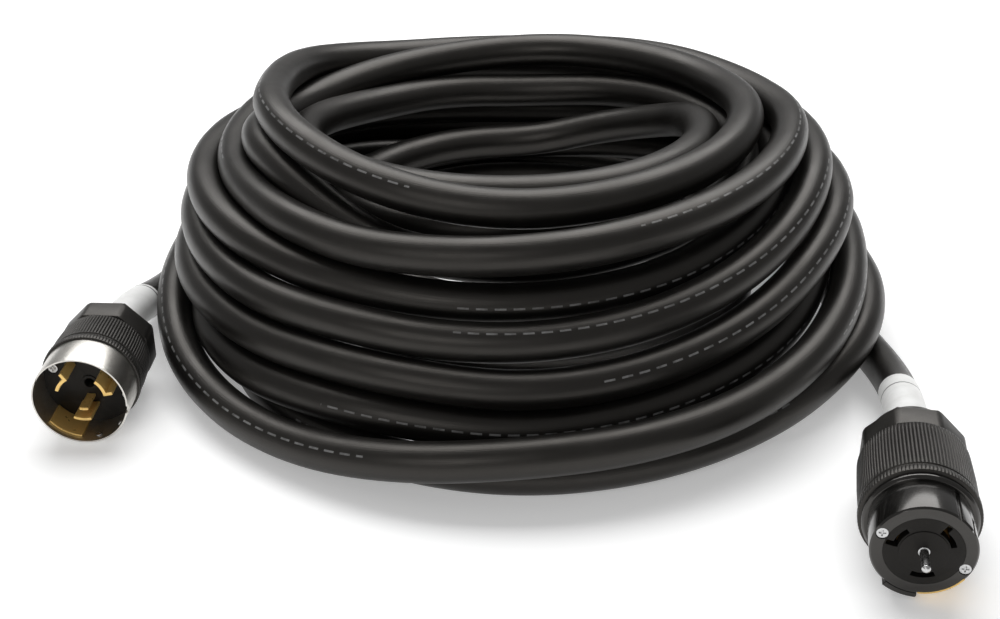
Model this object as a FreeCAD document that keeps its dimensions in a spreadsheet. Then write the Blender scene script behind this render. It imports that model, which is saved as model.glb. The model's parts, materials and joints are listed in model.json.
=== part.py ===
"""Shore power cord: a coiled rubber cable with a locking plug and a locking connector on its ends.

Frame: millimetres, +Z up, the floor at Z = 0, the origin under the middle of the two fittings. Each fitting
is modelled along its own axis: z = 0 at the rear end of its gland nut, z growing towards the contacts. It
lies on the front edge of its casing, its axis level.
"""
import FreeCAD, Part
import math
import os

import Sketcher

V = FreeCAD.Vector

SHEET = {
    # cable
    "cable_od": 24.5, "cable_slack": 1.0, "band_wall": 0.4, "plug_band": 60.0, "conn_band": 70.0,
    "band_offset": 3.0,
    # fits
    "running_gap": 0.05, "seat_gap": 0.1, "loose_gap": 0.3,
    # gland, both fittings
    "ring_thick": 2.5, "ring_rim": 0.5, "grommet_length": 14.0, "grommet_wall": 3.6, "grommet_taper": 2.0,
    "nut_back_wall": 11.4, "stub_wall": 4.0, "stub_back": 1.0, "nut_gap": 0.5, "jacket_strip": 2.0,
    "gland_lip": 3.0,
    # plug
    "plug_nut_length": 28.0, "plug_nut_flats": 56.0, "plug_nut_taper": 11.0, "plug_nut_back": 40.0,
    "plug_body_length": 33.0, "plug_body_rear": 58.5, "plug_body_front": 62.0, "plug_back_wall": 5.0,
    "plug_cavity": 44.0, "shell_od": 59.0, "shell_wall": 1.0, "shell_reach": 25.0, "shell_seat": 14.0,
    "shell_flange": 1.0, "notch_wide": 5.0, "notch_deep": 3.0, "face_depth": 23.0, "pilot_bore": 6.4,
    "blade_circle": 30.6, "blade_thick": 2.0, "blade_sweep": 42.0, "blade_reach": 19.0, "blade_leg": 3.6,
    "clip_sweep": 46.0, "clip_thick": 1.4, "clip_length": 19.0, "rivet_below_rim": 6.0,
    # connector
    "conn_nut_length": 28.0, "conn_nut_flats": 57.5, "conn_nut_taper": 11.0, "conn_nut_back": 46.0,
    "conn_body_length": 50.0, "conn_body_rear": 63.0, "conn_body_front": 66.0, "conn_back_wall": 5.0,
    "conn_cavity": 50.0, "spigot_od": 53.4, "spigot_length": 17.0, "collar_od": 62.0,
    "collar_length": 4.0, "nose_od": 56.0, "nose_length": 24.0, "boss_od": 26.0, "boss_rise": 0.6,
    "insert_od": 42.4,
    "strip_thick": 1.4, "strip_sweep": 56.0, "slot_slack": 0.5, "slot_front": 6.0, "pocket_wide": 7.0,
    "pocket_sweep": 52.0, "contact_length": 24.0, "contact_root": 3.0, "carrier_thick": 5.0, "pilot_pin": 4.8,
    "pilot_reach": 16.0, "pilot_root": 12.0, "pilot_root_od": 6.4,
    "collar_chamfer": 1.5, "nose_chamfer": 1.0, "pin_chamfer": 1.2,
    # terminals, wires and screws
    "block_side": 9.0, "block_length": 8.0, "block_circle": 32.0, "post_od": 4.0, "clamp_screw": 4.0,
    "wire_od": 6.6, "ground_wire_od": 5.2, "wire_circle": 13.0, "screw_head": 6.4, "screw_head_high": 2.4,
    "screw_shank": 3.0, "screw_circle": 48.0, "screw_bite": 6.0, "screw_sunk": 0.4, "recess_wide": 0.8,
    "recess_deep": 1.0, "rivet_head": 4.0, "rivet_rise": 0.8,
    # coil: outer shape, as radius and height
    "coil_foot": 255.0, "coil_foot_high": 40.0, "coil_shoulder": 203.0, "coil_shoulder_high": 140.0,
    "coil_crown": 176.0, "coil_crown_in": 152.0, "coil_high": 166.0, "coil_lip": 124.0,
    "coil_lip_high": 150.0, "coil_well": 97.0, "coil_well_high": 86.0, "coil_x": 20.3, "coil_y": 237.9,
    # where the fittings lie: middle of the front end, how far out from the coil's foot and its Y, and the
    # heading of the cable behind, in degrees from +Y
    "plug_out": 12.1, "plug_y": 39.6, "plug_heading": 2.5,
    "conn_out": -45.1, "conn_y": -110.4, "conn_heading": 9.5,
}

doc = FreeCAD.newDocument("shore_power_cord")
sheet = doc.addObject("Spreadsheet::Sheet", "sheet")
for row, (alias, number) in enumerate(SHEET.items(), start=1):
    sheet.set(f"A{row}", alias)
    sheet.set(f"B{row}", str(number))
    sheet.setAlias(f"B{row}", alias)
doc.recompute()


class Size:
    """A length taken from the sheet: its number, and the expression that binds a property to it."""

    def __init__(self, number, text):
        self.number, self.text = number, text

    def _join(self, other, sign, result):
        text = other.text if isinstance(other, Size) else str(other)
        return Size(result, f"({self.text} {sign} {text})")

    def __add__(self, other):
        return self._join(other, "+", self.number + plain(other))

    def __sub__(self, other):
        return self._join(other, "-", self.number - plain(other))

    def __mul__(self, other):
        return self._join(other, "*", self.number * plain(other))

    def __truediv__(self, other):
        return self._join(other, "/", self.number / plain(other))


def plain(value):
    return value.number if isinstance(value, Size) else float(value)


def size(alias):
    return Size(SHEET[alias], f"sheet.{alias}")


ZERO = Size(0.0, "0")
# how far a cutting tool runs past what it cuts
PAST = 1.0
OUTSIDE_TURN = FreeCAD.Rotation(V(0, 1, 0), 90)


def turned(label, outline):
    """A PartDesign body: an outline of (radius, height) corners turned round the Z axis."""
    body = doc.addObject("PartDesign::Body", label)
    sketch = body.newObject("Sketcher::SketchObject", f"{label}_outline")
    plane = next(f for f in body.Origin.OriginFeatures if f.Role == "XZ_Plane")
    sketch.AttachmentSupport = [(plane, "")]
    sketch.MapMode = "FlatFace"
    corners = [V(plain(r), plain(high), 0) for r, high in outline]
    sketch.addGeometry(
        [Part.LineSegment(a, b) for a, b in zip(corners, corners[1:] + corners[:1])], False
    )
    count = len(corners)
    for i in range(count):
        sketch.addConstraint(Sketcher.Constraint("Coincident", i, 2, (i + 1) % count, 1))
    for i, (r, high) in enumerate(outline):
        for kind, value in (("DistanceX", r), ("DistanceY", high)):
            place = sketch.addConstraint(Sketcher.Constraint(kind, -1, 1, i, 1, plain(value)))
            if isinstance(value, Size) and value is not ZERO:
                sketch.setExpression(f"Constraints[{place}]", value.text)
    spin = body.newObject("PartDesign::Revolution", f"{label}_turn")
    spin.Profile = sketch
    spin.ReferenceAxis = (sketch, ["V_Axis"])
    spin.Angle = 360
    body.Tip = spin
    return body


def named(kind, label, **sizes):
    """A Part primitive with its sizes bound to the sheet."""
    thing = doc.addObject(kind, label)
    for path, value in sizes.items():
        thing.setExpression(path, value.text)
    return thing


def about_axis(angle):
    return FreeCAD.Rotation(V(0, 0, 1), angle)


def cos_sin(angle):
    """Cosine and sine of an angle in degrees, short enough for an expression."""
    turn = math.radians(angle)
    return round(math.cos(turn), 9), round(math.sin(turn), 9)


def move_to(thing, x, y, high):
    for axis, value in (("x", x), ("y", y), ("z", high)):
        thing.setExpression(f"Placement.Base.{axis}", value.text)
    return thing


def lift(thing, high, angle=0.0):
    """Raise a primitive to a height on the fitting's axis and turn it round that axis, in degrees."""
    thing.Placement = FreeCAD.Placement(V(), about_axis(angle))
    thing.setExpression("Placement.Base.z", high.text)
    return thing


def cylinder(label, radius, height, high, angle=0.0, sweep=360.0):
    thing = named("Part::Cylinder", label, Radius=radius, Height=height)
    if isinstance(sweep, Size):
        thing.setExpression("Angle", sweep.text)
    else:
        thing.Angle = sweep
    return lift(thing, high, angle)


def off_axis(thing, radius, angle, high):
    """Put a primitive at a radius and an angle from the fitting's axis."""
    thing.Placement = FreeCAD.Placement(V(), about_axis(angle))
    cos, sin = cos_sin(angle)
    return move_to(thing, radius * cos, radius * sin, high)


def outwards(thing, radius, angle, high):
    """Lay a cylinder along a radius, starting at that radius."""
    thing.Placement = FreeCAD.Placement(V(), about_axis(angle).multiply(OUTSIDE_TURN))
    cos, sin = cos_sin(angle)
    return move_to(thing, radius * cos, radius * sin, high)


def cut(label, base, *tools):
    """base less every tool."""
    tool = tools[0]
    if len(tools) > 1:
        tool = joined(f"{label}_tools", *tools)
    result = doc.addObject("Part::Cut", label)
    result.Base, result.Tool = base, tool
    return result


def joined(label, *things):
    result = doc.addObject("Part::MultiFuse", label)
    result.Shapes = list(things)
    return result


def group(label, *things):
    """Separate solids that share one node."""
    result = doc.addObject("Part::Compound", label)
    result.Links = list(things)
    return result


def sector(label, inner, outer, height, high, start, sweep):
    """Part of a ring: from start, through sweep, in degrees."""
    whole = cylinder(f"{label}_out", outer, height, high, start, sweep)
    hole = cylinder(f"{label}_in", inner, height + 2 * PAST, high - PAST)
    return cut(label, whole, hole)


def centred_box(label, length, width, height, radius, angle, high):
    """A box lying along a radius, centred on it sideways, starting at that radius."""
    box = named("Part::Box", label, Length=length, Width=width, Height=height)
    side = width / 2
    box.Placement = FreeCAD.Placement(V(), about_axis(angle))
    cos, sin = cos_sin(angle)
    return move_to(box, radius * cos + side * sin, radius * sin - side * cos, high)


NODES = []


def node(thing, label, place):
    """Name a finished sub-part and put it where it lies."""
    thing.Label = label
    thing.Placement = place
    NODES.append(thing)
    return thing


# Where the two fittings lie: the plug on the coil's -X side, the connector on its +X side.

SIDE = {"plug": -1, "conn": 1}


def lying(kind, length):
    """The placement of a fitting that lies on the widest part of its casing, its axis level."""
    heading = math.radians(SHEET[f"{kind}_heading"])
    x = SHEET["coil_x"] + SIDE[kind] * (SHEET["coil_foot"] + SHEET[f"{kind}_out"])
    front = V(x, SHEET[f"{kind}_y"], SHEET[f"{kind}_body_front"] / 2)
    rear = front + V(math.sin(heading), math.cos(heading), 0) * plain(length)
    turn = about_axis(-SHEET[f"{kind}_heading"])
    return FreeCAD.Placement(rear, turn.multiply(FreeCAD.Rotation(V(1, 0, 0), 90)))


PLUG = lying("plug", size("plug_nut_length") + size("plug_body_length") + size("shell_reach"))
CONN = lying(
    "conn",
    size("conn_nut_length") + size("conn_body_length") + size("collar_length") + size("nose_length"),
)

NAMES = {"plug": "plug", "conn": "connector"}
NUT_SIDES = 8
# places round the fittings' axes, in degrees, seen from the front of the connector
SCREW_ANGLES = (158, 338)
RECESS_TURN = 20
BLOCK_ANGLES = (30, 150, 270, 210)
WIRE_COLOURS = ("black", "red", "white", "green")
NOTCH_ANGLES = (150, 350)
CLIP_MIDDLE = 241
RIVET_ANGLES = (320, 285)
STRIP_START = 270
# each contact: where it is, its middle, and the end that its leg is at; the plug's are a mirror image
CONN_CONTACTS = (("left", 151, 1), ("right", 39, 1), ("bottom", 274, 0))
PLUG_CONTACTS = (("right", 29, -1), ("left", 141, -1), ("bottom", 266, 0))

cable_r = size("cable_od") / 2
nut_hole_r = cable_r + size("cable_slack")
stub_bore_r = cable_r + size("seat_gap") + size("grommet_wall")
stub_r = stub_bore_r + size("stub_wall")
ring_at = size("nut_back_wall") + size("running_gap")
grommet_at = ring_at + size("ring_thick") + size("running_gap")
jacket_end = grommet_at + size("grommet_length") + size("jacket_strip")


def gland(kind, place):
    """The gland nut, its slip ring and the rubber grommet round the cable."""
    length = size(f"{kind}_nut_length")
    corner_r = size(f"{kind}_nut_flats") / 2 * (1 / math.cos(math.pi / NUT_SIDES))
    prism = named(
        "Part::Prism", f"{kind}_nut_prism", Circumradius=corner_r, Height=length - size("nut_gap"),
    )
    prism.Polygon = NUT_SIDES
    prism.Placement = FreeCAD.Placement(V(), about_axis(180 / NUT_SIDES))
    taper = named(
        "Part::Cone", f"{kind}_nut_cone", Radius1=size(f"{kind}_nut_back") / 2, Radius2=corner_r,
        Height=size(f"{kind}_nut_taper"),
    )
    rest = cylinder(f"{kind}_nut_rest", corner_r + PAST, length, size(f"{kind}_nut_taper"))
    blank = doc.addObject("Part::Common", f"{kind}_nut_blank")
    blank.Base, blank.Tool = prism, joined(f"{kind}_nut_envelope", taper, rest)
    nut = cut(
        f"{kind}_nut_solid",
        blank,
        cylinder(f"{kind}_nut_hole", nut_hole_r, length + 2 * PAST, ZERO - PAST),
        cylinder(f"{kind}_nut_thread", stub_r + size("loose_gap"), length, size("nut_back_wall")),
    )
    node(nut, f"{NAMES[kind]}_gland_nut", place)

    ring_out = stub_r - size("ring_rim")
    ring_top = ring_at + size("ring_thick")
    ring = turned(
        f"{kind}_ring",
        [(nut_hole_r, ring_at), (ring_out, ring_at), (ring_out, ring_top), (nut_hole_r, ring_top)],
    )
    node(ring, f"{NAMES[kind]}_clamp_ring", place)

    inner = cable_r + size("seat_gap")
    outer = stub_bore_r - size("seat_gap")
    top = grommet_at + size("grommet_length")
    grommet = turned(
        f"{kind}_grommet",
        [(inner, grommet_at), (outer, grommet_at), (outer, top - size("grommet_taper") * 2),
         (outer - size("grommet_taper"), top), (inner, top)],
    )
    node(grommet, f"{NAMES[kind]}_grommet", place)


def casing(kind, mouth_r, mouth_deep):
    """The ribbed casing: a tapering barrel with a stub for the nut's thread behind it, open at the front."""
    start = size(f"{kind}_nut_length")
    end = start + size(f"{kind}_body_length")
    rear_r = size(f"{kind}_body_rear") / 2
    front_r = size(f"{kind}_body_front") / 2
    cavity_r = size(f"{kind}_cavity") / 2
    floor = start + size(f"{kind}_back_wall")
    stub_start = grommet_at + size("stub_back")
    wire_hole_r = stub_bore_r - size("gland_lip")
    seat = grommet_at + size("grommet_length") + size("seat_gap")
    # the barrel swells quickly behind its middle and slowly in front of it
    middle_r = rear_r + (front_r - rear_r) * 0.8
    middle = start + (end - start) * 0.45
    return turned(
        f"{kind}_casing",
        [
            (stub_bore_r, stub_start), (stub_r, stub_start), (stub_r, start), (rear_r, start),
            (middle_r, middle), (front_r, end), (mouth_r, end), (mouth_r, end - mouth_deep),
            (cavity_r, end - mouth_deep), (cavity_r, floor), (wire_hole_r, floor), (wire_hole_r, seat),
            (stub_bore_r, seat),
        ],
    )


def terminals(kind, at, posts, place):
    """Four brass blocks behind the contacts, with their posts, clamping screws and wires."""
    side, length = size("block_side"), size("block_length")
    circle_r = size("block_circle") / 2
    blocks, screws = [], []
    for i, angle in enumerate(BLOCK_ANGLES):
        whole = centred_box(f"{kind}_block_{i}", side, side, length, circle_r - side / 2, angle, at)
        if posts:
            stem = named("Part::Cylinder", f"{kind}_post_{i}", Radius=size("post_od") / 2, Height=posts[i])
            whole = joined(f"{kind}_terminal_{i}", whole, off_axis(stem, circle_r, angle, at + length))
        hole = named(
            "Part::Cylinder", f"{kind}_screw_hole_{i}", Radius=size("clamp_screw") / 2 + size("seat_gap"),
            Height=side,
        )
        screw = named(
            "Part::Cylinder", f"{kind}_clamp_screw_{i}", Radius=size("clamp_screw") / 2, Height=side / 2,
        )
        outwards(hole, circle_r, angle, at + length / 2)
        outwards(screw, circle_r + size("loose_gap"), angle, at + length / 2)
        blocks.append(cut(f"{kind}_block_cut_{i}", whole, hole))
        screws.append(screw)
    node(group(f"{kind}_terminals", *blocks), f"{NAMES[kind]}_terminals", place)
    node(group(f"{kind}_screws", *screws), f"{NAMES[kind]}_terminal_screws", place)

    for angle, colour in zip(BLOCK_ANGLES, WIRE_COLOURS):
        wire_r = size("ground_wire_od" if colour == "green" else "wire_od") / 2
        ends = []
        for which, radius, high in (
            ("near", size("wire_circle") / 2, jacket_end), ("far", circle_r, at)
        ):
            end = named("Part::Circle", f"{kind}_{colour}_{which}", Radius=wire_r)
            ends.append(off_axis(end, radius, angle, high))
        wire = doc.addObject("Part::Loft", f"{kind}_wire_{colour}")
        wire.Sections, wire.Solid, wire.Ruled = ends, True, True
        node(wire, f"{NAMES[kind]}_wire_{colour}", place)


def blade_shape(label, height, high, middle, leg_side, slack=ZERO):
    """An arc blade, with a leg outwards at the end that leg_side (1 or -1) names; slack is all round."""
    mid_r, thick = size("blade_circle") / 2, size("blade_thick")
    sweep = size("blade_sweep")
    inner, outer = mid_r - thick / 2 - slack, mid_r + thick / 2 + slack
    spread = math.degrees(plain(slack) / plain(mid_r - thick / 2))
    start = middle - plain(sweep) / 2 - spread
    arc = sector(f"{label}_arc", inner, outer, height, high, start, sweep + round(2 * spread, 6))
    if not leg_side:
        return arc
    # the leg's side lines up with the end of the arc
    inset = math.degrees(plain(thick) / 2 / plain(mid_r))
    leg_angle = middle + leg_side * (plain(sweep) / 2 - inset)
    leg_length = size("blade_leg") + thick / 2 + slack
    leg = centred_box(f"{label}_leg", leg_length, thick + slack * 2, height, mid_r, leg_angle, high)
    return joined(label, arc, leg)


def make_plug():
    body_end = size("plug_nut_length") + size("plug_body_length")
    shell_r = size("shell_od") / 2
    shell_in = shell_r - size("shell_wall")
    rim = body_end + size("shell_reach")
    seat = body_end - size("shell_seat")
    face_front = rim - size("face_depth")
    face_back = seat + size("shell_flange") + size("seat_gap")
    face_thick = face_front - face_back
    circle_r = size("screw_circle") / 2
    shank_r = size("screw_shank") / 2
    gland("plug", PLUG)
    body = casing("plug", shell_r + size("seat_gap"), size("shell_seat") + size("seat_gap"))
    threads = [
        off_axis(
            named("Part::Cylinder", f"body_thread_{angle}", Radius=shank_r + size("running_gap"),
                  Height=size("screw_bite") + 2 * PAST),
            circle_r, angle, seat - size("screw_bite"),
        )
        for angle in SCREW_ANGLES
    ]
    node(cut("plug_casing_drilled", body, *threads), "plug_body", PLUG)

    flange_in = circle_r + shank_r + size("loose_gap")
    tube = turned(
        "shell_tube",
        [(shell_in, seat + size("shell_flange")), (flange_in, seat + size("shell_flange")), (flange_in, seat),
         (shell_r, seat), (shell_r, rim), (shell_in, rim)],
    )
    notches = [
        centred_box(
            f"shell_notch_{angle}", shell_r, size("notch_wide"), size("notch_deep") + PAST,
            shell_r / 2, angle, rim - size("notch_deep"),
        )
        for angle in NOTCH_ANGLES
    ]
    node(cut("shell", tube, *notches), "plug_shell", PLUG)

    disc = cylinder("face_disc", shell_in - size("seat_gap"), face_thick, face_back)
    pilot = cylinder("face_pilot", size("pilot_bore") / 2, face_thick + 2 * PAST, face_back - PAST)
    slots, blades = [], []
    for where, angle, side in PLUG_CONTACTS:
        blade = blade_shape(f"blade_{where}", size("blade_reach") + face_thick, face_back, angle, side)
        blades.append((where, blade))
        slots.append(blade_shape(
            f"blade_slot_{where}", face_thick + 2 * PAST, face_back - PAST, angle, side, size("seat_gap"),
        ))
    screws = []
    for angle in SCREW_ANGLES:
        slots += screw_holes(f"face_{angle}", circle_r, angle, face_front, face_back)
        bottom = seat - size("screw_bite") + PAST
        screws.append(screw_shape(f"face_screw_{angle}", circle_r, angle, face_front, bottom))
    node(cut("face", disc, pilot, *slots), "plug_face", PLUG)
    for where, blade in blades:
        node(blade, f"plug_blade_{where}", PLUG)
    node(group("face_screws", *screws), "plug_face_screws", PLUG)

    clip_out = shell_in - size("seat_gap")
    clip = sector(
        "ground_clip", clip_out - size("clip_thick"), clip_out, size("clip_length"),
        face_front + size("seat_gap"), CLIP_MIDDLE - SHEET["clip_sweep"] / 2, size("clip_sweep"),
    )
    node(clip, "plug_ground_clip", PLUG)

    rivets = []
    for angle in RIVET_ANGLES:
        rivet = named(
            "Part::Cylinder", f"rivet_{angle}", Radius=size("rivet_head") / 2, Height=size("rivet_rise"),
        )
        start = shell_in - size("rivet_rise") - size("seat_gap") * 2
        rivets.append(outwards(rivet, start, angle, rim - size("rivet_below_rim")))
    node(group("rivets", *rivets), "plug_rivets", PLUG)
    terminals("plug", face_back - size("block_length"), (), PLUG)


def screw_holes(label, radius, angle, front, back):
    """The counterbore of a screw's head under the face, and the hole of its shank down to the back."""
    deep = size("screw_head_high") + size("screw_sunk")
    seat = named(
        "Part::Cylinder", f"{label}_counterbore", Radius=size("screw_head") / 2 + size("loose_gap"),
        Height=deep + PAST,
    )
    through = named(
        "Part::Cylinder", f"{label}_bore", Radius=size("screw_shank") / 2 + size("running_gap"),
        Height=front - back + PAST,
    )
    return [off_axis(seat, radius, angle, front - deep), off_axis(through, radius, angle, back - PAST)]


def screw_shape(label, radius, angle, front, back):
    """A pan-head screw whose head lies just under the face, with a cross recess."""
    head_r, high = size("screw_head") / 2, size("screw_head_high")
    top = front - size("screw_sunk")
    head = named("Part::Cylinder", f"{label}_head", Radius=head_r, Height=high)
    shank_r = size("screw_shank") / 2
    shank = named("Part::Cylinder", f"{label}_shank", Radius=shank_r, Height=top - high - back)
    off_axis(head, radius, angle, top - high)
    off_axis(shank, radius, angle, back)
    reach, wide = head_r * 0.6, size("recess_wide")
    cos, sin = cos_sin(angle)
    slots = []
    for turn in (0, 90):
        slot = named(
            "Part::Box", f"{label}_slot_{turn}", Length=reach * 2, Width=wide,
            Height=size("recess_deep") + PAST,
        )
        slot.Placement = FreeCAD.Placement(V(), about_axis(angle + turn + RECESS_TURN))
        along, across = cos_sin(angle + turn + RECESS_TURN)
        x = radius * cos - reach * along + wide / 2 * across
        y = radius * sin - reach * across - wide / 2 * along
        slots.append(move_to(slot, x, y, top - size("recess_deep")))
    return cut(label, joined(f"{label}_solid", head, shank), *slots)


def make_connector():
    body_end = size("conn_nut_length") + size("conn_body_length")
    collar_end = body_end + size("collar_length")
    face = collar_end + size("nose_length")
    nose_r, collar_r = size("nose_od") / 2, size("collar_od") / 2
    spigot_r = size("spigot_od") / 2
    spigot_start = body_end - size("spigot_length")
    carrier_end = spigot_start - size("running_gap")
    carrier_start = carrier_end - size("carrier_thick")
    gland("conn", CONN)
    mouth_deep = body_end - carrier_start + size("seat_gap")
    node(casing("conn", spigot_r + size("seat_gap"), mouth_deep), "connector_body", CONN)

    boss_r, chamfer = size("boss_od") / 2, size("nose_chamfer")
    insert_r = size("insert_od") / 2
    pocket_end = face - size("slot_front")
    ring_blank = turned(
        "nose_blank",
        [(insert_r, collar_end), (nose_r, collar_end), (nose_r, face - chamfer), (nose_r - chamfer, face),
         (insert_r, face)],
    )
    plate_r = insert_r - size("seat_gap")
    plate_blank = turned(
        "plate_blank",
        [(ZERO, pocket_end), (plate_r, pocket_end), (plate_r, face), (boss_r, face),
         (boss_r, face + size("boss_rise")), (ZERO, face + size("boss_rise"))],
    )
    insert_blank = turned(
        "insert_blank",
        [(ZERO, collar_end), (plate_r, collar_end), (plate_r, pocket_end), (ZERO, pocket_end)],
    )
    flange = body_end + size("seat_gap")
    chamfer = size("collar_chamfer")
    collar_blank = turned(
        "collar_blank",
        [(ZERO, spigot_start), (spigot_r, spigot_start), (spigot_r, flange), (collar_r, flange),
         (collar_r, collar_end - chamfer), (collar_r - chamfer, collar_end), (ZERO, collar_end)],
    )
    strip_in = nose_r - size("strip_thick")
    ring_tools = [sector(
        "strip_seat", strip_in, nose_r + PAST, size("nose_length") + PAST, collar_end,
        STRIP_START - 1, size("strip_sweep") + 2.0,
    )]
    plate_tools, insert_tools, collar_tools = [], [], []
    contacts = []
    slot_thick = size("blade_thick") + size("slot_slack") * 2
    circle = size("blade_circle")
    pocket_in = circle / 2 - size("pocket_wide") / 2
    pocket_out = circle / 2 + size("pocket_wide") / 2
    contact_back = pocket_end - size("seat_gap") - size("contact_length")
    for where, angle, side in CONN_CONTACTS:
        plate_tools.append(blade_shape(
            f"slot_{where}", size("slot_front") + 2 * PAST, pocket_end - PAST, angle, side,
            size("slot_slack"),
        ))
        start = angle - SHEET["pocket_sweep"] / 2
        for tools, high, top in (
            (insert_tools, collar_end - PAST, pocket_end + PAST),
            (collar_tools, spigot_start - PAST, collar_end + PAST),
        ):
            tools.append(sector(
                f"pocket_{where}_{len(tools)}", pocket_in, pocket_out, top - high, high, start,
                size("pocket_sweep"),
            ))
        block = sector(
            f"contact_block_{where}", pocket_in + size("seat_gap"), pocket_out - size("seat_gap"),
            size("contact_length"), contact_back, start + 1, size("pocket_sweep") - 2.0,
        )
        groove_in = (circle - slot_thick) / 2
        groove = sector(
            f"contact_groove_{where}", groove_in, groove_in + slot_thick, size("contact_length"),
            contact_back + size("contact_root"), start - 1, size("pocket_sweep") + 2.0,
        )
        contacts.append((where, cut(f"contact_{where}", block, groove)))
    circle_r = size("screw_circle") / 2
    screws = []
    for angle in SCREW_ANGLES:
        ring_tools += screw_holes(f"nose_{angle}", circle_r, angle, face, collar_end)
        plate_tools += screw_holes(f"plate_{angle}", circle_r, angle, face, collar_end)
        bore = named(
            "Part::Cylinder", f"collar_bore_{angle}", Radius=size("screw_shank") / 2 + size("running_gap"),
            Height=collar_end - spigot_start + 2 * PAST,
        )
        collar_tools.append(off_axis(bore, circle_r, angle, spigot_start - PAST))
        screws.append(screw_shape(f"nose_screw_{angle}", circle_r, angle, face, carrier_start + PAST))
    root_r = size("pilot_root_od") / 2
    pin_back = face - size("pilot_root")
    for tools in (plate_tools, insert_tools):
        tools.append(cylinder(
            f"pilot_hole_{len(tools)}", root_r + size("running_gap"), size("pilot_root") + 2 * PAST, pin_back,
        ))
    node(cut("nose", ring_blank, *ring_tools), "connector_nose", CONN)
    node(cut("plate", plate_blank, *plate_tools), "connector_face", CONN)
    node(cut("insert", insert_blank, *insert_tools), "connector_insert", CONN)
    node(cut("collar", collar_blank, *collar_tools), "connector_collar", CONN)
    for where, contact in contacts:
        node(contact, f"connector_contact_{where}", CONN)
    node(group("nose_screws", *screws), "connector_face_screws", CONN)

    pin_front = face + size("pilot_reach")
    pin_start = pin_back + size("running_gap")
    shoulder = face + size("boss_rise")
    pin_r, chamfer = size("pilot_pin") / 2, size("pin_chamfer")
    pin = turned(
        "pilot",
        [(ZERO, pin_start), (root_r, pin_start), (root_r, shoulder), (pin_r, shoulder),
         (pin_r, pin_front - chamfer), (pin_r - chamfer, pin_front), (ZERO, pin_front)],
    )
    node(pin, "connector_pilot_pin", CONN)
    strip = sector(
        "ground_strip", strip_in + size("running_gap"), nose_r, size("nose_length") - size("loose_gap"),
        collar_end + size("seat_gap"), STRIP_START, size("strip_sweep"),
    )
    node(strip, "connector_ground_strip", CONN)

    plate = cylinder("carrier_plate", spigot_r, size("carrier_thick"), carrier_start)
    holes = []
    bores = [(size("block_circle") / 2, angle, size("post_od") / 2) for angle in BLOCK_ANGLES]
    bores += [(circle_r, angle, size("screw_shank") / 2) for angle in SCREW_ANGLES]
    for radius, angle, bore in bores:
        hole = named(
            "Part::Cylinder", f"carrier_hole_{angle}_{round(plain(bore))}", Radius=bore + size("running_gap"),
            Height=size("carrier_thick") + 2 * PAST,
        )
        holes.append(off_axis(hole, radius, angle, carrier_start - PAST))
    node(cut("carrier", plate, *holes), "connector_carrier", CONN)
    block_end = carrier_start - size("running_gap")
    long_post = contact_back - block_end
    short_post = carrier_end - block_end
    posts = (long_post, long_post, long_post, short_post)
    terminals("conn", block_end - size("block_length"), posts, CONN)


# The cable: the outer shape of its coil, and the two free stretches.

def make_coil():
    coil = turned(
        "coil",
        [
            (size("coil_well"), ZERO), (size("coil_foot"), ZERO), (size("coil_foot"), size("coil_foot_high")),
            (size("coil_shoulder"), size("coil_shoulder_high")), (size("coil_crown"), size("coil_high")),
            (size("coil_crown_in"), size("coil_high")), (size("coil_lip"), size("coil_lip_high")),
            (size("coil_well"), size("coil_well_high")),
        ],
    )
    return node(coil, "cord_coil", FreeCAD.Placement(COIL_CENTRE, FreeCAD.Rotation()))


def arc_route(points):
    """The wire of straight runs joined by tangent arcs, as large as their runs allow, and the arcs' radii."""
    edges, radii, start = [], [], points[0]
    for before, corner, after in zip(points, points[1:], points[2:]):
        back, ahead = before - corner, after - corner
        shorter = min(back.Length, ahead.Length)
        back, ahead = V(back).normalize(), V(ahead).normalize()
        half_turn = (math.pi - back.getAngle(ahead)) / 2
        reach = ARC_SHARE * shorter
        radii.append(reach / math.tan(half_turn))
        inward = (back + ahead).normalize()
        entry, leave = corner + back * reach, corner + ahead * reach
        middle = corner + inward * (radii[-1] / math.cos(half_turn) - radii[-1])
        edges.append(Part.LineSegment(start, entry).toShape())
        edges.append(Part.Arc(entry, middle, leave).toShape())
        start = leave
    edges.append(Part.LineSegment(start, points[-1]).toShape())
    return Part.Wire(edges), radii


def pipe(route, radius):
    """A solid round tube along the route."""
    first = route.Edges[0]
    way = first.tangentAt(first.FirstParameter)
    mouth = Part.Wire(Part.makeCircle(plain(radius), route.OrderedVertexes[0].Point, way))
    return route.makePipeShell([mouth], True, False)


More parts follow.
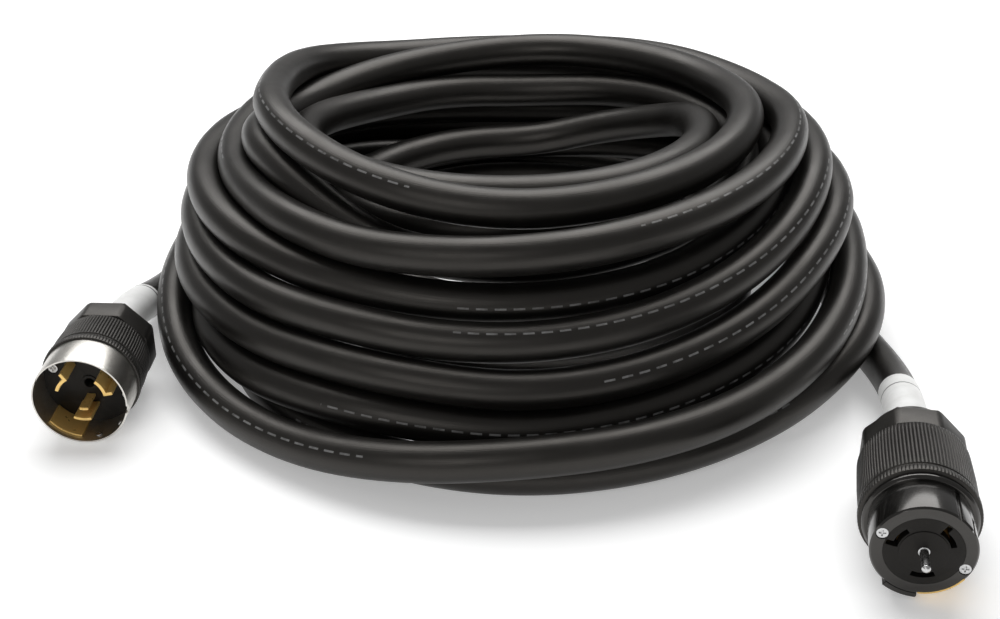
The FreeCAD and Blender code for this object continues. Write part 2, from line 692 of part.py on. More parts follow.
def make_lead(kind, place, points, coil):
    """One free stretch of cable, with its white marker sleeve: from inside its fitting, straight out of the
    gland, and down into the coil."""
    inside = place.multVec(V(0, 0, plain(jacket_end)))
    rear = place.multVec(V(0, 0, 0))
    outside = place.multVec(V(0, 0, -STRAIGHT_OUT * SHEET["cable_od"]))
    route, radii = arc_route([inside, outside] + points)
    tube = pipe(route, cable_r)
    expected = math.pi * plain(cable_r) ** 2 * route.Length
    print(f"{kind} lead: arc radii {[round(r) for r in radii]} mm, length {route.Length:.0f} mm,"
          f" volume {tube.Volume / expected:.4f} of section x length")
    whole = doc.addObject("Part::Feature", f"{kind}_lead_tube")
    whole.Shape = tube
    node(cut(f"{kind}_lead_cut", whole, coil), f"lead_{NAMES[kind]}", FreeCAD.Placement())

    inner = cable_r + size("running_gap")
    sleeve = pipe(route, inner + size("band_wall")).cut(pipe(route, inner))
    wide = 4 * SHEET["cable_od"]
    start = V(rear.x - wide / 2, rear.y + SHEET["band_offset"], rear.z - wide / 2)
    stretch = Part.makeBox(wide, SHEET[f"{kind}_band"], wide, start)
    band = doc.addObject("Part::Feature", f"{kind}_band")
    band.Shape = sleeve.common(stretch)
    node(band, f"{NAMES[kind]}_label", FreeCAD.Placement())


FLOOR_LINE = SHEET["cable_od"] / 2
COIL_CENTRE = V(SHEET["coil_x"], SHEET["coil_y"], 0)
# each arc takes this much of the shorter run beside it
ARC_SHARE = 0.45
# how far the cable runs straight out of a gland, in diameters
STRAIGHT_OUT = 1.3
FOOT = SHEET["coil_foot"]
# hand-chosen points, each given from the coil's centre and foot
PLUG_ROUTE = [V(6 - FOOT, -18, FLOOR_LINE + 0.8), V(23 - FOOT, 38, FLOOR_LINE)]
CONN_ROUTE = [V(FOOT - 12, -138, FLOOR_LINE + 1.0), V(FOOT - 26, -74, FLOOR_LINE)]

make_plug()
make_connector()
coil = make_coil()
for kind, place, route in (("plug", PLUG, PLUG_ROUTE), ("conn", CONN, CONN_ROUTE)):
    make_lead(kind, place, [COIL_CENTRE + point for point in route], coil)

doc.recompute()
for thing in doc.Objects:
    if any(word in ("Invalid", "Error") for word in thing.State):
        raise RuntimeError(f"{thing.Name} failed: {thing.State}")
for thing in NODES:
    if thing.Shape.isNull() or not thing.Shape.isValid():
        raise RuntimeError(f"{thing.Label} has no valid shape")

os.makedirs("parts", exist_ok=True)
for thing in NODES:
    thing.Shape.exportStep(f"parts/{thing.Label}.step")
print(f"{len(NODES)} nodes written")
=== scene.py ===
"""Looks of the shore power cord: the coiled cable, its fittings, every material, the lights and the camera.

Metres, in the row frame: +Z up, the floor at Z = 0. Sizes below are in millimetres where a name ends in _MM.
"""

import json
import math

import bmesh
import bpy
import numpy as np
from mathutils import Matrix, Vector


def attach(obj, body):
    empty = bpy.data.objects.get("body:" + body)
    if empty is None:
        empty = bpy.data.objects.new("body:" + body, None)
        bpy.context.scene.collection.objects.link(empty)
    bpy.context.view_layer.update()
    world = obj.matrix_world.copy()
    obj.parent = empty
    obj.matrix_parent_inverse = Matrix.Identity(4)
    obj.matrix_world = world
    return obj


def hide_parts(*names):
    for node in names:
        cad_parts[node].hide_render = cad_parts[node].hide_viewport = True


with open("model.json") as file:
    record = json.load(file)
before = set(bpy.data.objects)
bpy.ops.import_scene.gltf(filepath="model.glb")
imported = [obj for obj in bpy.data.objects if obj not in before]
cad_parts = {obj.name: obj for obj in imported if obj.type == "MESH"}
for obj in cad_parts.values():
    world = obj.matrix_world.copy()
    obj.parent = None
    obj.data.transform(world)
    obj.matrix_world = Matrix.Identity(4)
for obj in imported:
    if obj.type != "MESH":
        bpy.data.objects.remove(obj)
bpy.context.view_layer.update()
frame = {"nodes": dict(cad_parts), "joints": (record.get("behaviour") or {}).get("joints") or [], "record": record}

MM = 0.001
CABLE_R = 12.25
COIL_CENTRE = np.array([20.3, 237.9])
FLOOR_LINE = CABLE_R

# ---------------------------------------------------------------- camera

CAMERA_AT = (0.0092, -0.7454, 0.523)
CAMERA_DOWN_DEG = 28.6
LENS_MM = 54.72
SENSOR_MM = 36.0


def make_camera():
    data = bpy.data.cameras.new("camera")
    data.sensor_width, data.lens = SENSOR_MM, LENS_MM
    data.clip_start, data.clip_end = 0.05, 50.0
    camera = bpy.data.objects.new("camera", data)
    camera.location = CAMERA_AT
    camera.rotation_euler = (math.radians(90 - CAMERA_DOWN_DEG), 0, 0)
    bpy.context.scene.collection.objects.link(camera)
    bpy.context.scene.camera = camera


# ---------------------------------------------------------------- the cable's route

# From the connector's gland: points of its free stretch, from the coil's centre, in millimetres.
CONNECTOR_ROUTE = [(243, -138, 13.25), (229, -74, 12.25)]
# The plug's free stretch, from the coil out to the plug.
PLUG_ROUTE = [(-232, 38, 12.25), (-249, -18, 13.05)]

# The coil, turn by turn: (angle in degrees counterclockwise from +X, radius, height), in millimetres.
COIL = [
    # in under the outer ring at the right, round the floor, over the plug's lead at the left
    (0, 228, 12), (45, 224, 12), (90, 222, 13), (112, 220, 24), (130, 218, 35), (150, 216, 38),
    (190, 216, 38),
    # the recessed strand at the front, climbing to the right, then down inside at the back
    (205, 227, 39), (225, 234, 38), (245, 234, 36), (270, 229, 31), (315, 221, 46), (350, 209, 66),
    (405, 202, 52), (450, 198, 37), (485, 188, 36), (520, 186, 26), (555, 196, 14),
    # out under that strand to the lowest ring at the front, over the connector's lead at the right
    (585, 224, 13), (610, 242, 13), (630, 250, 13), (650, 248, 13), (668, 245, 15), (685, 254, 30),
    (699, 254, 38), (710, 242, 38), (722, 236, 37), (745, 238, 24), (775, 244, 13), (835, 246, 14),
    (868, 232, 31), (890, 227, 38), (904, 227, 38), (919, 244, 33), (932, 252, 22), (947, 257, 16),
    (962, 260, 17), (976, 262, 25), (990, 262, 33), (1025, 254, 40), (1050, 242, 54), (1065, 231, 62),
    (1080, 229, 62), (1125, 233, 46), (1170, 235, 37), (1215, 234, 54),
    # second ring of the outer wall
    (1245, 225, 61), (1264, 222, 61), (1279, 229, 60), (1305, 229, 56), (1350, 225, 54),
    (1385, 222, 68), (1410, 220, 88), (1429, 221, 96), (1445, 218, 96), (1485, 214, 76),
    (1530, 214, 62), (1575, 214, 76),
    # third ring
    (1605, 217, 86), (1638, 220, 87), (1670, 217, 81), (1710, 210, 79), (1740, 208, 90),
    (1770, 205, 110), (1789, 204, 120), (1805, 203, 120), (1815, 202, 118), (1845, 197, 104),
    (1890, 196, 88), (1935, 204, 98),
    # fourth, from outside at the left to recessed at the front
    (1965, 210, 107), (1996, 212, 109), (2025, 203, 101), (2050, 192, 94), (2070, 187, 93),
    (2100, 184, 98), (2130, 180, 110), (2160, 178, 116), (2205, 184, 113), (2250, 190, 111),
    (2295, 194, 116),
    # fifth: the bold ring under the crown
    (2325, 194, 120), (2355, 194, 120), (2385, 192, 119), (2430, 189, 126), (2475, 187, 137),
    (2509, 186, 142), (2520, 185, 141), (2542, 176, 135), (2570, 174, 130), (2610, 173, 125),
    (2640, 173, 127),
    # the crown
    (2665, 171, 137), (2685, 167, 146), (2700, 166, 153), (2712, 167, 161), (2725, 167, 162),
    (2745, 163, 154), (2790, 160, 142), (2835, 158, 147), (2870, 156, 150), (2900, 152, 144),
    (2960, 152, 135), (2990, 153, 130), (3015, 156, 128), (3040, 163, 131), (3056, 170, 136),
    (3074, 178, 140), (3100, 177, 126), (3125, 170, 112), (3150, 167, 109), (3195, 160, 116),
    (3240, 154, 121), (3285, 145, 116), (3330, 134, 107),
    # inner rim
    (3375, 138, 116), (3420, 146, 128), (3465, 140, 138), (3510, 135, 140), (3555, 131, 139),
    (3600, 127, 132), (3645, 118, 100), (3690, 110, 75), (3735, 112, 76), (3780, 117, 82),
    (3825, 114, 98), (3870, 112, 106), (3915, 108, 92), (3960, 106, 70), (4005, 107, 52),
    (4050, 110, 44), (4140, 111, 46), (4230, 110, 50), (4275, 108, 40), (4320, 108, 30),
    (4365, 110, 16),
    # along the floor, outwards under all the rest, to the plug's lead
    (4410, 112, 12), (4500, 120, 12), (4590, 136, 12), (4680, 160, 12), (4725, 176, 12),
    (4770, 192, 12), (4800, 205, 12), (4825, 219, 12),
]
STEP_DEG = 15
SETTLE_ROUNDS = 260
SETTLE_GAP = 24.6
SETTLE_SHARE = 0.22
# points this near along the cable are the same bend, and don't push each other
SAME_BEND_POINTS = 8


def smooth_between(stations, angle):
    """Radius and height at an angle, by a curve through the stations that doesn't overshoot."""
    angles = stations[:, 0]
    k = int(np.clip(np.searchsorted(angles, angle, side="right") - 1, 0, len(angles) - 2))
    span = angles[k + 1] - angles[k]
    t = (angle - angles[k]) / span

    def slope(i, column):
        if i == 0 or i == len(angles) - 1:
            return 0.0
        before = (stations[i, column] - stations[i - 1, column]) / (angles[i] - angles[i - 1])
        after = (stations[i + 1, column] - stations[i, column]) / (angles[i + 1] - angles[i])
        return 0.0 if before * after <= 0 else 2 * before * after / (before + after)

    values = []
    for column in (1, 2):
        a, b = stations[k, column], stations[k + 1, column]
        m0, m1 = slope(k, column) * span, slope(k + 1, column) * span
        leaving = (2 * t**3 - 3 * t**2 + 1) * a + (t**3 - 2 * t**2 + t) * m0
        arriving = (3 * t**2 - 2 * t**3) * b + (t**3 - t**2) * m1
        values.append(leaving + arriving)
    return values


def coil_points():
    """The coil's points, in millimetres in the row frame, a fixed angle apart."""
    stations = np.array(COIL, float)
    grow = 1 / math.cos(math.radians(STEP_DEG) / 2)
    points = []
    for angle in np.arange(stations[0, 0], stations[-1, 0] + 0.1, STEP_DEG):
        radius, height = smooth_between(stations, angle)
        a = math.radians(angle)
        x, y = COIL_CENTRE + radius * grow * np.array([math.cos(a), math.sin(a)])
        points.append((x, y, max(height, FLOOR_LINE)))
    return np.array(points)


def settled(points):
    """Points moved apart, step by step, until no two stretches of the cable lie in each other."""
    points = points.copy()
    count = len(points)
    index = np.arange(count)
    for _ in range(SETTLE_ROUNDS):
        # halfway points stand for the stretches, so crossings between points are felt too
        lines = np.vstack([points, (points[1:] + points[:-1]) / 2])
        owner_a = np.concatenate([index, index[:-1]])
        owner_b = np.concatenate([index, index[1:]])
        apart = lines[:, None, :] - lines[None, :, :]
        gap = np.linalg.norm(apart, axis=2)
        near = (gap < SETTLE_GAP) & (abs(owner_a[:, None] - owner_a[None, :]) > SAME_BEND_POINTS)
        rows, columns = np.nonzero(near)
        if not len(rows):
            break
        way = apart[rows, columns] / np.maximum(gap[rows, columns], 1e-6)[:, None]
        push = way * ((SETTLE_GAP - gap[rows, columns]) * SETTLE_SHARE)[:, None]
        move = np.zeros_like(points)
        hits = np.zeros(count)
        for owner in (owner_a, owner_b):
            np.add.at(move, owner[rows], push / 2)
            np.add.at(hits, owner[rows], 0.5)
        move /= np.maximum(hits, 1)[:, None] ** 0.5
        points += move
        points[:, 2] = np.maximum(points[:, 2], FLOOR_LINE)
    return points


def nurbs_line(name, points):
    """A smooth curve object through the given control points, in metres."""
    curve = bpy.data.curves.new(name, "CURVE")
    curve.dimensions = "3D"
    spline = curve.splines.new("NURBS")
    spline.points.add(len(points) - 1)
    for point, place in zip(spline.points, points):
        point.co = (*place, 1.0)
    spline.order_u = 3
    spline.use_endpoint_u = True
    spline.resolution_u = 8
    return curve


def read_line(curve):
    """The points of the smooth curve itself."""
    holder = bpy.data.objects.new("route_reader", curve)
    mesh = bpy.data.meshes.new_from_object(holder)
    points = np.array([v.co for v in mesh.vertices], float)
    bpy.data.objects.remove(holder)
    bpy.data.meshes.remove(mesh)
    return points


def fitting_place(kind):
    """Where a fitting lies: its origin is the rear end of its gland nut, +z runs to its front end."""
    joint = next(j for j in frame["joints"] if j["name"] == f"{kind}_nut_turn")
    z = -Vector(joint["axis"])
    y = Vector((0, 0, 1))
    x = y.cross(z)
    turn = Matrix((x, y, z)).transposed().to_4x4()
    return Matrix.Translation(Vector(joint["pos_m"])) @ turn


PLUG = fitting_place("plug")
CONNECTOR = fitting_place("connector")
JACKET_END_MM = 30.0
STRAIGHT_OUT_MM = -31.85
SLEEVE_BEHIND_MM = 3.0
SLEEVE_MM = {"plug": 60.0, "connector": 70.0}
SLEEVE_WALL_MM = 0.45


def cable_points():
    """Control points of the whole cable, from the plug's gland to the connector's, in metres."""
    def from_centre(route):
        return [np.array([COIL_CENTRE[0] + x, COIL_CENTRE[1] + y, z]) * MM for x, y, z in route]

    def on_axis(place, z):
        return np.array(place @ Vector((0, 0, z * MM)))

    coil = settled(coil_points()) * MM
    plug_end = [on_axis(PLUG, z) for z in (JACKET_END_MM, 0.0, STRAIGHT_OUT_MM)]
    connector_end = [on_axis(CONNECTOR, z) for z in (STRAIGHT_OUT_MM, 0.0, JACKET_END_MM)]
    return (
        plug_end + from_centre(PLUG_ROUTE)[::-1] + list(coil[::-1])
        + from_centre(CONNECTOR_ROUTE)[::-1] + connector_end
    )


# ---------------------------------------------------------------- meshes

def add_mesh(name, vertices, faces, smooth=True):
    mesh = bpy.data.meshes.new(name)
    mesh.from_pydata([tuple(v) for v in vertices], [], faces)
    mesh.update()
    if smooth:
        mesh.shade_smooth()
    thing = bpy.data.objects.new(name, mesh)
    bpy.context.scene.collection.objects.link(thing)
    return thing


AROUND = 28


def tube_mesh(name, line, radius):
    """A round tube along a line of points, with UVs: metres along it, and turns round it from outward up."""
    line = np.asarray(line)
    way = np.gradient(line, axis=0)
    way /= np.linalg.norm(way, axis=1)[:, None]
    up = np.array([0.0, 0.0, 1.0])
    side = np.cross(way, up)
    side /= np.linalg.norm(side, axis=1)[:, None]
    above = np.cross(side, way)
    turn = np.linspace(0, 2 * math.pi, AROUND, endpoint=False)
    rings = (
        line[:, None, :]
        + radius * np.cos(turn)[None, :, None] * side[:, None, :]
        + radius * np.sin(turn)[None, :, None] * above[:, None, :]
    )
    count = len(line)
    faces = []
    for i in range(count - 1):
        for k in range(AROUND):
            n = (k + 1) % AROUND
            faces.append((i * AROUND + k, i * AROUND + n, (i + 1) * AROUND + n, (i + 1) * AROUND + k))
    faces.append(tuple(range(AROUND))[::-1])
    faces.append(tuple((count - 1) * AROUND + k for k in range(AROUND)))
    thing = add_mesh(name, rings.reshape(-1, 3), faces)
    along = np.concatenate([[0], np.cumsum(np.linalg.norm(np.diff(line, axis=0), axis=1))])
    layer = thing.data.uv_layers.new(name="length_and_turn")
    for polygon in thing.data.polygons:
        for loop in polygon.loop_indices:
            vertex = thing.data.loops[loop].vertex_index
            k = vertex % AROUND
            last_too = (AROUND - 1) in [v % AROUND for v in polygon.vertices]
            wraps = k == 0 and len(polygon.vertices) == 4 and last_too
            layer.data[loop].uv = (along[vertex // AROUND], 1.0 if wraps else k / AROUND)
    normals_out(thing)
    return thing


def normals_out(thing):
    solid = bmesh.new()
    solid.from_mesh(thing.data)
    bmesh.ops.recalc_face_normals(solid, faces=solid.faces)
    solid.to_mesh(thing.data)
    solid.free()


def lathe(name, outline, place, segments=96, shape=None, closed=False):
    """An outline of (radius, z) corners in millimetres turned round z; shape may change a radius."""
    vertices, faces = [], []
    for i in range(segments):
        angle = 2 * math.pi * i / segments
        for radius, z in outline:
            r = shape(angle, radius, z) if shape else radius
            vertices.append(place @ Vector((r * math.cos(angle) * MM, r * math.sin(angle) * MM, z * MM)))
    count = len(outline)
    last = count if closed else count - 1
    for i in range(segments):
        for k in range(last):
            n = (k + 1) % count
            a, b = i * count, ((i + 1) % segments) * count
            faces.append((a + k, b + k, b + n, a + n))
    thing = add_mesh(name, vertices, faces)
    normals_out(thing)
    return thing


def sharp_by_angle(thing, degrees=32):
    thing.data.shade_smooth()
    thing.data.set_sharp_from_angle(angle=math.radians(degrees))


# ---------------------------------------------------------------- materials

def material(name, colour, roughness, metallic=0.0, **inputs):
    made = bpy.data.materials.new(name)
    made.use_nodes = True
    shader = made.node_tree.nodes["Principled BSDF"]
    shader.inputs["Base Color"].default_value = (*colour, 1)
    shader.inputs["Roughness"].default_value = roughness
    shader.inputs["Metallic"].default_value = metallic
    for key, value in inputs.items():
        shader.inputs[key.replace("_", " ")].default_value = value
    return made, made.node_tree, shader


def add(tree, kind, **settings):
    node = tree.nodes.new(kind)
    for key, value in settings.items():
        if key in node.inputs:
            node.inputs[key].default_value = value
        else:
            setattr(node, key, value)
    return node


def noise(tree, scale, detail=4.0, roughness=0.55, vector=None):
    node = add(tree, "ShaderNodeTexNoise", Scale=scale, Detail=detail, Roughness=roughness)
    if vector is None:
        place = add(tree, "ShaderNodeTexCoord")
        vector = place.outputs["Object"]
    tree.links.new(vector, node.inputs["Vector"])
    return node.outputs["Fac"]


def spread(tree, value, low, high, start=0.0, end=1.0):
    """A value from start to end mapped to low to high."""
    node = tree.nodes.new("ShaderNodeMapRange")
    for key, number in (("From Min", start), ("From Max", end), ("To Min", low), ("To Max", high)):
        node.inputs[key].default_value = number
    tree.links.new(value, node.inputs["Value"])
    return node.outputs["Result"]


def math_node(tree, operation, a, b=None):
    node = tree.nodes.new("ShaderNodeMath")
    node.operation = operation
    for slot, value in ((0, a), (1, b)):
        if value is None:
            continue
        if isinstance(value, (int, float)):
            node.inputs[slot].default_value = value
        else:
            tree.links.new(value, node.inputs[slot])
    return node.outputs[0]


def mix_colours(tree, factor, a, b):
    node = tree.nodes.new("ShaderNodeMix")
    node.data_type = "RGBA"
    tree.links.new(factor, node.inputs[0])
    for slot, value in ((6, a), (7, b)):
        if isinstance(value, tuple):
            node.inputs[slot].default_value = (*value, 1)
        else:
            tree.links.new(value, node.inputs[slot])
    return node.outputs[2]


def bump(tree, shader, height, strength, distance):
    node = add(tree, "ShaderNodeBump", Strength=strength, Distance=distance)
    tree.links.new(height, node.inputs["Height"])
    tree.links.new(node.outputs["Normal"], shader.inputs["Normal"])


def share_of(tree, along, per_metre, share):
    """One over the first share of each repeat along the cable, and nought over the rest."""
    repeat = math_node(tree, "FRACT", math_node(tree, "MULTIPLY", along, per_metre))
    return math_node(tree, "LESS_THAN", repeat, share)


# gloss of the black rubber and nylon, a little warm
WARM_GLOSS = (1.0, 0.94, 0.87, 1.0)
DASHES_PER_METRE = 95.0
GROUPS_PER_METRE = 1.55
LABEL_SEAM_M = 0.046


def jacket_material():
    made, tree, shader = material("jacket_rubber", (0.006, 0.0056, 0.0052), 0.38)
    shader.inputs["Specular IOR Level"].default_value = 0.5
    shader.inputs["Specular Tint"].default_value = WARM_GLOSS
    uv = add(tree, "ShaderNodeUVMap", uv_map="length_and_turn")
    split = add(tree, "ShaderNodeSeparateXYZ")
    tree.links.new(uv.outputs["UV"], split.inputs[0])
    along, turn = split.outputs["X"], split.outputs["Y"]

    # soft mottling, handling scuffs and dust
    mottle = noise(tree, 28.0, 5.0)
    scuff = noise(tree, 160.0, 6.0, 0.65)
    worn_patch = spread(tree, mottle, 0, 1, 0.45, 0.75)
    worn_grain = spread(tree, scuff, 0, 1, 0.4, 0.8)
    wear = math_node(tree, "MULTIPLY", worn_patch, worn_grain)
    rubber = mix_colours(tree, wear, (0.0055, 0.0051, 0.0047), (0.014, 0.0130, 0.0118))
    tree.links.new(spread(tree, mottle, 0.31, 0.42, 0.3, 0.7), shader.inputs["Roughness"])

    # one thin broken line of plain pale dashes along the jacket, wandering a little as the cable twists
    twist = math_node(tree, "SINE", math_node(tree, "MULTIPLY", along, 1.9))
    middle = spread(tree, twist, 0.33, 0.47, -1.0, 1.0)
    off = math_node(tree, "ABSOLUTE", math_node(tree, "SUBTRACT", turn, middle))
    line = math_node(tree, "LESS_THAN", off, 0.008)
    dash = share_of(tree, along, DASHES_PER_METRE, 0.62)
    group = share_of(tree, along, GROUPS_PER_METRE, 0.5)
    marks = math_node(tree, "MULTIPLY", math_node(tree, "MULTIPLY", line, dash), group)
    ink = math_node(tree, "MULTIPLY", marks, spread(tree, scuff, 0.3, 0.9, 0.35, 0.6))
    tree.links.new(mix_colours(tree, ink, rubber, (0.20, 0.20, 0.20)), shader.inputs["Base Color"])

    # faint extrusion lines and fine grain
    stretched = add(tree, "ShaderNodeMapping")
    stretched.inputs["Scale"].default_value = (9.0, 60.0, 1.0)
    tree.links.new(uv.outputs["UV"], stretched.inputs["Vector"])
    lines = noise(tree, 3.0, 3.0, 0.5, stretched.outputs["Vector"])
    grain = noise(tree, 900.0, 2.0)
    deep = math_node(tree, "MULTIPLY", lines, 0.7)
    shallow = math_node(tree, "MULTIPLY", grain, 0.3)
    height = math_node(tree, "ADD", deep, shallow)
    bump(tree, shader, height, 0.22, 0.0006)
    return made


def moulded_material(name, colour, roughness, grain_scale=700.0, grain=0.25, dust=0.012, coat=0.0, gloss=0.5):
    """Moulded plastic: fine grain, slight colour mottling, paler dust and wear."""
    made, tree, shader = material(name, colour, roughness)
    shader.inputs["Specular IOR Level"].default_value = gloss
    shader.inputs["Specular Tint"].default_value = WARM_GLOSS
    shader.inputs["Coat Weight"].default_value = coat
    shader.inputs["Coat Roughness"].default_value = 0.12
    patch = noise(tree, 45.0, 5.0)
    fine = noise(tree, grain_scale, 3.0)
    pale = tuple(min(1.0, c + dust) for c in colour)
    worn_patch = spread(tree, patch, 0, 1, 0.42, 0.72)
    worn_grain = spread(tree, fine, 0.2, 1, 0.35, 0.65)
    wear = math_node(tree, "MULTIPLY", worn_patch, worn_grain)
    tree.links.new(mix_colours(tree, wear, colour, pale), shader.inputs["Base Color"])
    rough = spread(tree, patch, roughness - 0.04, roughness + 0.07, 0.3, 0.7)
    tree.links.new(rough, shader.inputs["Roughness"])
    bump(tree, shader, fine, grain, 0.0004)
    return made


def metal_material(
    name, colour, roughness, brushed=(1.0, 1.0, 1.0), brush_scale=900.0, grain=0.1, tarnish=0.12,
    metallic=1.0,
):
    """Plated or bare metal: brushed lines, patches of duller metal."""
    made, tree, shader = material(name, colour, roughness, metallic)
    place = add(tree, "ShaderNodeTexCoord")
    stretched = add(tree, "ShaderNodeMapping")
    stretched.inputs["Scale"].default_value = brushed
    tree.links.new(place.outputs["Object"], stretched.inputs["Vector"])
    lines = noise(tree, brush_scale, 4.0, 0.6, stretched.outputs["Vector"])
    patch = noise(tree, 60.0, 5.0)
    dull = tuple(c * (1 - tarnish * 2) for c in colour)
    dulled = spread(tree, patch, 0, 1, 0.5, 0.8)
    tree.links.new(mix_colours(tree, dulled, colour, dull), shader.inputs["Base Color"])
    rough = spread(tree, lines, roughness - 0.05, roughness + 0.1, 0.3, 0.7)
    tree.links.new(rough, shader.inputs["Roughness"])
    bump(tree, shader, lines, grain, 0.0003)
    return made


def label_material():
    """Plain white vinyl, faintly creased."""
    made, tree, shader = material("label_vinyl", (0.86, 0.86, 0.85), 0.4)
    patch = noise(tree, 90.0, 5.0)
    crease = noise(tree, 380.0, 3.0)
    handled = spread(tree, patch, 0, 1, 0.4, 0.8)
    vinyl = mix_colours(tree, handled, (0.88, 0.88, 0.87), (0.74, 0.74, 0.72))
    # the seam where two turns of the label meet, near the fitting
    uv = add(tree, "ShaderNodeUVMap", uv_map="length_and_turn")
    split = add(tree, "ShaderNodeSeparateXYZ")
    tree.links.new(uv.outputs["UV"], split.inputs[0])
    off = math_node(tree, "ABSOLUTE", math_node(tree, "SUBTRACT", split.outputs["X"], LABEL_SEAM_M))
    seam = spread(tree, off, 1.0, 0.0, 0.0004, 0.0009)
    tree.links.new(mix_colours(tree, seam, vinyl, (0.05, 0.05, 0.05)), shader.inputs["Base Color"])
    bump(tree, shader, crease, 0.2, 0.0005)
    return made


# ---------------------------------------------------------------- pieces

def dress(node, made):
    """Give a carried-over CAD node its material."""
    thing = frame["nodes"][node]
    thing.data.materials.clear()
    thing.data.materials.append(made)


def make_cable(jacket):
    line = read_line(nurbs_line("cable_route", cable_points()))
    cable = tube_mesh("cable", line, CABLE_R * MM)
    cable.data.materials.append(jacket)
    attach(cable, "root")
    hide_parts("cord_coil", "lead_plug", "lead_connector")
    return cable, line


def make_label(kind, line, made):
    """The white marker sleeve on the cable, as far behind the fitting and as long as the CAD one."""
    points = line if kind == "plug" else line[::-1]
    along = np.concatenate([[0], np.cumsum(np.linalg.norm(np.diff(points, axis=0), axis=1))]) / MM
    start = JACKET_END_MM + SLEEVE_BEHIND_MM
    part = points[(along > start) & (along < start + SLEEVE_MM[kind])]
    body = tube_mesh(f"{kind}_marker_sleeve", part, (CABLE_R + SLEEVE_WALL_MM) * MM)
    body.data.materials.append(made)
    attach(body, "root")
    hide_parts(f"{kind}_label")
    return body


RIBS = 96


def ribbed(angle, radius, depth):
    """Radius of a ribbed barrel: rounded ribs with narrow grooves between them."""
    phase = (angle * RIBS / (2 * math.pi)) % 1.0
    groove = max(0.0, math.cos((phase - 0.5) * 2 * math.pi)) ** 2
    return radius - depth * groove


RIB_DEPTH_MM = 0.8
RIM_TOOTH_MM = 0.45


def make_casing(kind, place, rear_r, front_r, start, end, mouth_r, made):
    """The barrel of a casing: a plain rear band, ribs, a thin groove, and a finely toothed front rim."""
    length = end - start
    rim = end - 5.5
    outline = [
        (mouth_r - 8, start), (rear_r - 2.2, start), (rear_r - 0.7, start + 0.4), (rear_r, start + 1.4),
    ]
    steps = 14
    for i in range(1, steps + 1):
        z = start + 1.4 + (rim - 2.2 - start - 1.4) * i / steps
        share = (z - start) / length
        bulge = min(1.0, share / 0.45)
        outline.append((rear_r + (front_r - 0.6 - rear_r) * (0.8 * bulge + 0.2 * share), z))
    outline += [
        (front_r - 1.3, rim - 1.6), (front_r - 1.4, rim - 0.7), (front_r - 0.4, rim), (front_r, rim + 0.8),
        (front_r, end - 1.2), (front_r - 0.3, end - 0.4), (front_r - 1.1, end), (mouth_r + 0.1, end),
        (mouth_r + 0.1, end - 4),
    ]
    low, high = start + 1.6, rim - 2.4

    def shape(angle, radius, z):
        if radius < rear_r - 3:
            return radius
        if low < z < high:
            return ribbed(angle, radius, RIB_DEPTH_MM * min(1.0, (z - low) / 1.2, (high - z) / 1.2))
        if rim < z < end - 0.5:
            return ribbed(angle, radius, RIM_TOOTH_MM)
        return radius

    casing = lathe(f"{kind}_ribbed_casing", outline, place, RIBS * 6, shape)
    sharp_by_angle(casing, 40)
    casing.data.materials.append(made)
    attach(casing, "root")
    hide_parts(f"{kind}_body")


def make_nut(kind, place, flats, length, taper, back, made):
    """The octagonal gland nut: rounded corners, flats that run into a tapered rear."""
    half = flats / 2
    front = length - 0.5

    def shape(angle, radius, z):
        if radius < 20.5:
            return radius
        phase = (angle + math.pi / 8) % (math.pi / 4) - math.pi / 8
        flat = radius / math.cos(phase)
        corner = half * 1.062
        limit = corner if z > taper * 0.6 else corner - (taper * 0.6 - z) * 1.2
        return min(flat, limit)

    bore, hole, wall = 20.25, 13.25, 11.4
    outline = [
        (bore, front), (half - 1.2, front), (half - 0.4, front - 0.4), (half, front - 1.3),
        (half, taper + 3), (half, taper), (half - 1.0, taper - 1.6), (half - 3.2, taper - 4.4),
        (back / 2 + 1.8, 1.6), (back / 2 + 0.5, 0.4), (back / 2 - 1.2, 0.0),
        (hole + 1.2, 0.0), (hole + 0.3, 0.3), (hole, 1.2), (hole, wall), (bore, wall),
    ]
    nut = lathe(f"{kind}_nut", outline, place, 192, shape, closed=True)
    sharp_by_angle(nut, 30)
    nut.data.materials.append(made)
    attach(nut, f"{kind}_nut")
    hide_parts(f"{kind}_gland_nut")


def softened(node, width_mm, made, cutters=()):
    """A node's own shape with its sharp edges rounded, as a detailed piece in the node's place."""
    body = next(b for b, nodes in frame["record"]["behaviour"]["bodies"].items() if node in nodes)
    source = frame["nodes"][node]
    piece = bpy.data.objects.new(f"{node}_finished", source.data.copy())
    bpy.context.scene.collection.objects.link(piece)
    solid = bmesh.new()
    solid.from_mesh(piece.data)
    bmesh.ops.remove_doubles(solid, verts=solid.verts, dist=2e-6)
    bmesh.ops.dissolve_limit(
        solid, angle_limit=math.radians(1.0), verts=solid.verts, edges=solid.edges,
        use_dissolve_boundaries=False,
    )
    solid.to_mesh(piece.data)
    solid.free()
    for cutter in cutters:
        groove = piece.modifiers.new("groove", "BOOLEAN")
        groove.operation, groove.solver, groove.object = "DIFFERENCE", "EXACT", cutter
    bevel = piece.modifiers.new("rounding", "BEVEL")
    bevel.width, bevel.segments, bevel.limit_method = width_mm * MM, 3, "ANGLE"
    bevel.angle_limit = math.radians(40)
    bevel.use_clamp_overlap = True
    bpy.context.view_layer.update()
    shaped = bpy.data.meshes.new_from_object(piece.evaluated_get(bpy.context.evaluated_depsgraph_get()))
    piece.modifiers.clear()
    piece.data = shaped
    for cutter in cutters:
        bpy.data.objects.remove(cutter)
    sharp_by_angle(piece, 35)
    piece.data.materials.clear()
    piece.data.materials.append(made)
    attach(piece, body)
    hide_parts(node)


